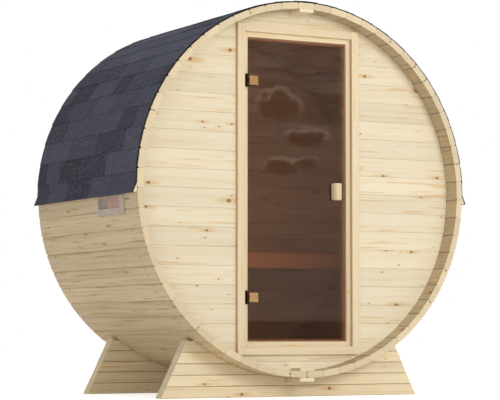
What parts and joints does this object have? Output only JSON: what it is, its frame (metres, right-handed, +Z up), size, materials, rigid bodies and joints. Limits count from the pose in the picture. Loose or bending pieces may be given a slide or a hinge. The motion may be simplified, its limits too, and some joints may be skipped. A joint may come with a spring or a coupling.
{
  "type": "barrel sauna",
  "caption": "Round outdoor sauna cabin of wooden staves lying on two cradles, with a hinged tinted glass door in its front wall, a bench inside and shingles over its upper half.",
  "frame": {"origin": "on the ground, under the middle of the barrel", "axes": "+X to the right seen from the front, +Y to the back along the barrel, +Z up"},
  "size_m": [2.2244, 1.392, 2.2789],
  "materials": {
    "stave_wood": "planed, untreated",
    "wall_wood": "planed, untreated",
    "frame_wood": "planed, untreated",
    "trim_wood": "planed, untreated",
    "inner_wood": "planed, untreated",
    "grip_wood": "turned, untreated",
    "shingle": "mineral granules",
    "bronze_glass": "tinted, polished",
    "hinge_bronze": "satin",
    "hinge_dark": "dark satin",
    "vent_frame": "pale grey",
    "vent_shutter": "brownish red"
  },
  "bodies": {
    "cabin": {"bench_bearers": "inner_wood", "bench_front_board": "inner_wood", "bench_ledger": "inner_wood", "bench_seat": "inner_wood", "casing_head": "trim_wood", "casing_post_left": "trim_wood", "casing_post_right": "trim_wood", "casing_sill": "trim_wood", "floor_bearers": "inner_wood", "floor_deck": "inner_wood", "frame_head": "trim_wood", "frame_sill": "trim_wood", "front_bottom_block": "frame_wood", "front_cradle": "frame_wood", "front_top_block": "frame_wood", "front_wall_bottom": "wall_wood", "front_wall_left": "wall_wood", "front_wall_right": "wall_wood", "front_wall_top": "wall_wood", "jamb_left": "trim_wood", "jamb_right": "trim_wood", "keel_batten": "frame_wood", "left_eave_batten": "frame_wood", "left_lower_staves_a": "stave_wood", "left_lower_staves_b": "stave_wood", "left_roof_shingles": "shingle", "left_upper_staves_a": "stave_wood", "left_upper_staves_b": "stave_wood", "lower_hinge_leaf": "hinge_dark", "rear_bottom_block": "frame_wood", "rear_cradle": "frame_wood", "rear_top_block": "frame_wood", "rear_wall": "wall_wood", "ridge_shingles": "shingle", "ridge_stave": "stave_wood", "right_eave_batten": "frame_wood", "right_lower_staves_a": "stave_wood", "right_lower_staves_b": "stave_wood", "right_roof_shingles": "shingle", "right_upper_staves_a": "stave_wood", "right_upper_staves_b": "stave_wood", "upper_hinge_leaf": "hinge_dark", "vent_frame": "vent_frame", "vent_shutter": "vent_shutter", "vent_stave": "stave_wood"},
    "door": {"door_glass": "bronze_glass", "upper_hinge_clamp": "hinge_bronze", "lower_hinge_clamp": "hinge_bronze", "outer_grip": "grip_wood", "inner_grip": "grip_wood"}
  },
  "joints": [
    {"name": "door_hinge", "type": "hinge", "parent": "cabin", "child": "door", "pos_m": [-0.336, -0.599, 1.19], "axis": [0, 0, -1], "range_deg": [0, 110]}
  ]
}
